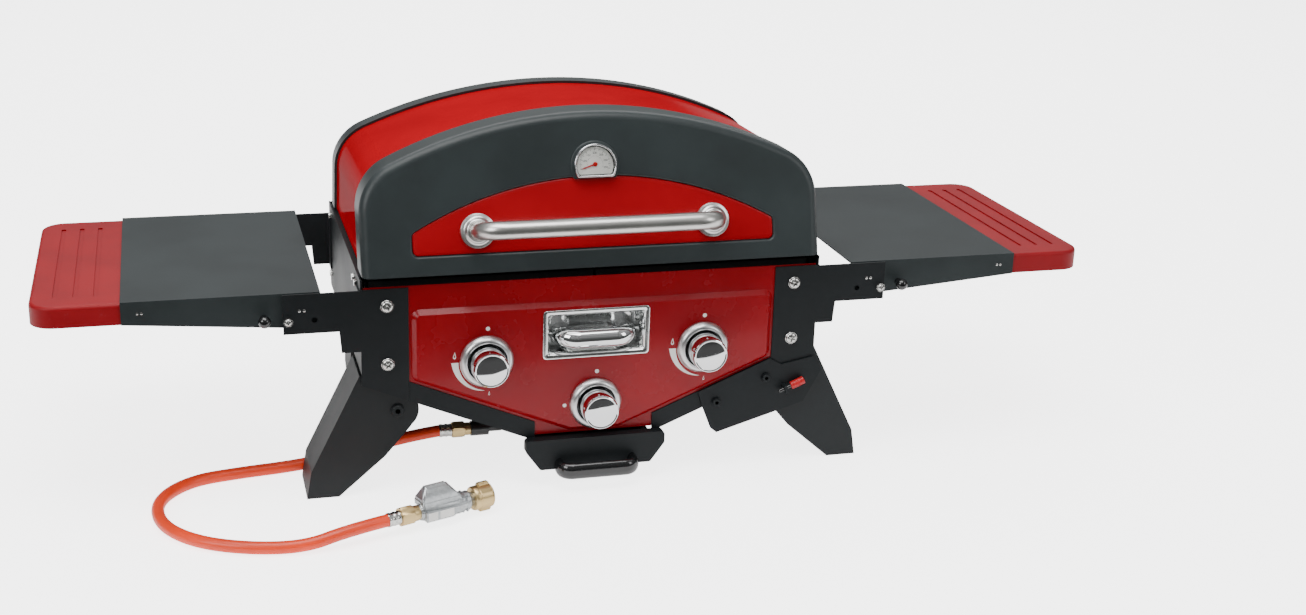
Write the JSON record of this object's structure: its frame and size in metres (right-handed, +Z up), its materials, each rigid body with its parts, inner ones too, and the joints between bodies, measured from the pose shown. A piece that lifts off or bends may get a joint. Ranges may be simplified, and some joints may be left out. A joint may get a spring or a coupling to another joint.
{
  "type": "table-top gas barbecue grill",
  "caption": "Portable gas barbecue with a hinged lid, fold-down side shelves, folding legs, push-and-turn knobs, a grease drawer and a gas hose with its regulator.",
  "frame": {"origin": "on the ground under the middle of the grill, its hose, regulator and nuts left out", "axes": "+X to the cook's right, +Y away from the cook, +Z up"},
  "size_m": [1.16, 0.4465, 0.4043],
  "materials": {
    "panel_red": "semi-gloss enamel",
    "lid_red": "gloss enamel",
    "anthracite": "fine textured coat on castings",
    "black_powder": "matt powder coat",
    "leg_grey": "matt powder coat",
    "shelf_grey": "matt powder coat",
    "shelf_red": "moulded, fine texture",
    "galvanised": "zinc coated sheet",
    "firebox_enamel": "porcelain enamel",
    "cast_iron": "enamelled casting",
    "stainless": "stainless sheet and tube",
    "brass": "machined",
    "chrome": "polished plating",
    "brushed_bezel": "circular brushed",
    "brushed_handle": "satin tube",
    "zinc_screw": "bright zinc plating",
    "black_gloss": "moulded gloss",
    "latch_red": "moulded",
    "dial_white": "printed dial",
    "needle_red": "painted pointer",
    "lens_glass": "clear window",
    "hose_orange": "smooth rubber",
    "regulator_grey": "sand-textured die casting"
  },
  "bodies": {
    "body": {"left_side_panel": "black_powder", "right_side_panel": "black_powder", "front_panel": "panel_red", "rear_panel": "black_powder", "lower_rails": "black_powder", "post_screws": "zinc_screw", "firebox": "firebox_enamel", "flame_tamers": "stainless", "left_grate": "cast_iron", "right_grate": "cast_iron", "side_burners": "stainless", "centre_burner": "stainless", "gas_manifold": "galvanised", "gas_valves": "brass", "knob_bezels": "brushed_bezel", "handle_recess": "chrome", "carry_bar": "chrome", "tray_rails": "galvanised", "shelf_brackets": "black_powder", "shelf_pivots": "zinc_screw", "leg_ears": "black_powder", "leg_bolts": "black_powder", "leg_lock_plate": "black_powder", "body_hinge_leaves": "black_powder", "inlet_pipe": "galvanised", "gas_hose": "hose_orange", "hose_ferrules": "zinc_screw", "hose_nuts": "brass", "regulator_body": "regulator_grey"},
    "lid": {"lid_front_bezel": "anthracite", "lid_insert": "lid_red", "lid_rear_bezel": "anthracite", "lid_skin": "lid_red", "lid_handle": "brushed_handle", "handle_rosettes": "brushed_bezel", "thermometer_case": "chrome", "thermometer_dial": "dial_white", "thermometer_lens": "lens_glass", "lid_hinge_leaves": "black_powder"},
    "needle": {"thermometer_needle": "needle_red"},
    "tray": {"grease_tray": "black_powder", "tray_handle": "black_gloss"},
    "latch": {"leg_latch": "latch_red"},
    "union_nut": {"wing_nut": "brass"},
    "left_plug": {"left_valve_plug": "brass"},
    "left_knob": {"left_knob": "chrome"},
    "centre_plug": {"centre_valve_plug": "brass"},
    "centre_knob": {"centre_knob": "chrome"},
    "right_plug": {"right_valve_plug": "brass"},
    "right_knob": {"right_knob": "chrome"},
    "left_shelf": {"left_shelf_top": "shelf_grey"},
    "left_extension": {"left_shelf_end": "shelf_red"},
    "left_lock": {"left_shelf_lock": "black_gloss"},
    "front_left_leg": {"front_left_leg": "leg_grey"},
    "rear_left_leg": {"rear_left_leg": "leg_grey"},
    "right_shelf": {"right_shelf_top": "shelf_grey"},
    "right_extension": {"right_shelf_end": "shelf_red"},
    "right_lock": {"right_shelf_lock": "black_gloss"},
    "front_right_leg": {"front_right_leg": "leg_grey"},
    "rear_right_leg": {"rear_right_leg": "leg_grey"}
  },
  "joints": [
    {"name": "lid_hinge", "type": "hinge", "parent": "body", "child": "lid", "pos_m": [0, 0.176, 0.246], "axis": [-1, 0, 0], "range_deg": [0, 88]},
    {"name": "left_knob_turn", "type": "hinge", "parent": "body", "child": "left_plug", "pos_m": [-0.12, -0.117, 0.147], "axis": [0, -1, 0], "range_deg": [0, 180]},
    {"name": "left_knob_push", "type": "slide", "parent": "left_plug", "child": "left_knob", "axis": [0, 1, 0], "range_m": [0, 0.0035], "stiffness_N_per_m": 700, "springref_m": -0.003},
    {"name": "centre_knob_turn", "type": "hinge", "parent": "body", "child": "centre_plug", "pos_m": [0, -0.117, 0.0905], "axis": [0, -1, 0], "range_deg": [0, 90]},
    {"name": "centre_knob_push", "type": "slide", "parent": "centre_plug", "child": "centre_knob", "axis": [0, 1, 0], "range_m": [0, 0.0035], "stiffness_N_per_m": 700, "springref_m": -0.003},
    {"name": "right_knob_turn", "type": "hinge", "parent": "body", "child": "right_plug", "pos_m": [0.12, -0.117, 0.147], "axis": [0, -1, 0], "range_deg": [0, 180]},
    {"name": "right_knob_push", "type": "slide", "parent": "right_plug", "child": "right_knob", "axis": [0, 1, 0], "range_m": [0, 0.0035], "stiffness_N_per_m": 700, "springref_m": -0.003},
    {"name": "right_shelf_fold", "type": "hinge", "parent": "body", "child": "right_shelf", "pos_m": [0.326, 0, 0.203], "axis": [0, 1, 0], "range_deg": [0, 90]},
    {"name": "right_shelf_end_slide", "type": "slide", "parent": "right_shelf", "child": "right_extension", "axis": [-1, 0, 0], "range_m": [0, 0.088]},
    {"name": "right_shelf_lock_pull", "type": "slide", "parent": "right_shelf", "child": "right_lock", "axis": [0, -1, 0], "range_m": [0, 0.005], "stiffness_N_per_m": 600, "springref_m": -0.003},
    {"name": "front_right_leg_fold", "type": "hinge", "parent": "body", "child": "front_right_leg", "pos_m": [0.2144, -0.1035, 0.0947], "axis": [0, 1, 0], "range_deg": [0, 108]},
    {"name": "rear_right_leg_fold", "type": "hinge", "parent": "body", "child": "rear_right_leg", "pos_m": [0.2, 0.138, 0.095], "axis": [0, 1, 0], "range_deg": [0, 78]},
    {"name": "left_shelf_fold", "type": "hinge", "parent": "body", "child": "left_shelf", "pos_m": [-0.326, 0, 0.203], "axis": [0, -1, 0], "range_deg": [0, 90]},
    {"name": "left_shelf_end_slide", "type": "slide", "parent": "left_shelf", "child": "left_extension", "axis": [1, 0, 0], "range_m": [0, 0.088]},
    {"name": "left_shelf_lock_pull", "type": "slide", "parent": "left_shelf", "child": "left_lock", "axis": [0, -1, 0], "range_m": [0, 0.005], "stiffness_N_per_m": 600, "springref_m": -0.003},
    {"name": "front_left_leg_fold", "type": "hinge", "parent": "body", "child": "front_left_leg", "pos_m": [-0.2144, -0.1035, 0.0947], "axis": [0, -1, 0], "range_deg": [0, 108]},
    {"name": "rear_left_leg_fold", "type": "hinge", "parent": "body", "child": "rear_left_leg", "pos_m": [-0.2, 0.138, 0.095], "axis": [0, -1, 0], "range_deg": [0, 78]},
    {"name": "leg_latch_slide", "type": "slide", "parent": "body", "child": "latch", "axis": [-0.9205, 0, -0.3907], "range_m": [0, 0.005], "stiffness_N_per_m": 500, "springref_m": -0.003},
    {"name": "tray_slide", "type": "slide", "parent": "body", "child": "tray", "axis": [0, -1, 0], "range_m": [0, 0.2]},
    {"name": "needle_turn", "type": "hinge", "parent": "lid", "child": "needle", "pos_m": [0, -0.11983, 0.35114], "axis": [0, 0.9659, -0.2588], "range_deg": [0, 215], "stiffness_Nm_per_rad": 0.0005},
    {"name": "union_nut_turn", "type": "hinge", "parent": "body", "child": "union_nut", "pos_m": [-0.24, -0.238, 0.0165], "axis": [0.9397, 0.342, 0], "continuous": true}
  ],
  "couplings": [
    {"joint": "right_shelf_end_slide", "follows": "right_shelf_fold", "m_per_rad": 0.056},
    {"joint": "left_shelf_end_slide", "follows": "left_shelf_fold", "m_per_rad": 0.056}
  ]
}
